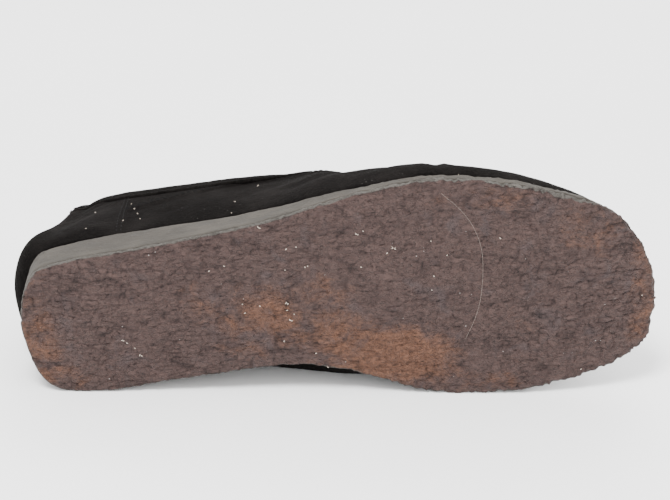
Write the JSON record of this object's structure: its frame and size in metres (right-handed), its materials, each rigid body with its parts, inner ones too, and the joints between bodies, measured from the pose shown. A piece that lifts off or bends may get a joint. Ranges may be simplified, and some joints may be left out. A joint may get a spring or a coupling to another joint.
{
  "type": "suede shoe",
  "caption": "Low black suede lace-up shoe for the right foot with a crepe rubber wedge sole and a loose bow, lying on its inner side.",
  "frame": {"origin": "bottom centre of the shoe's box as it lies on its inner side, laces left out", "axes": "+X from the heel to the toe, -Y out of the tread, +Z from the inner side on the floor to the outer side"},
  "size_m": [0.3006, 0.1238, 0.1117],
  "materials": {
    "suede": "matt brushed nap",
    "lining": "smooth matt",
    "grey_crepe": "matt",
    "brown_crepe": "matt, wrinkled",
    "lace": "woven",
    "clear_sheath": "clear gloss"
  },
  "bodies": {
    "root": {"upper": "suede", "collar_band": "suede", "tongue": "suede", "insole": "lining", "wedge": "grey_crepe", "outsole": "brown_crepe", "lace_bar": "lace", "lace_crossing": "lace", "lace_knot": "lace", "lace_loop_big": "lace", "lace_loop_small": "lace", "lace_end_heel": "lace", "lace_end_toe": "lace", "aglet_heel": "clear_sheath", "aglet_toe": "clear_sheath"}
  },
  "joints": []
}
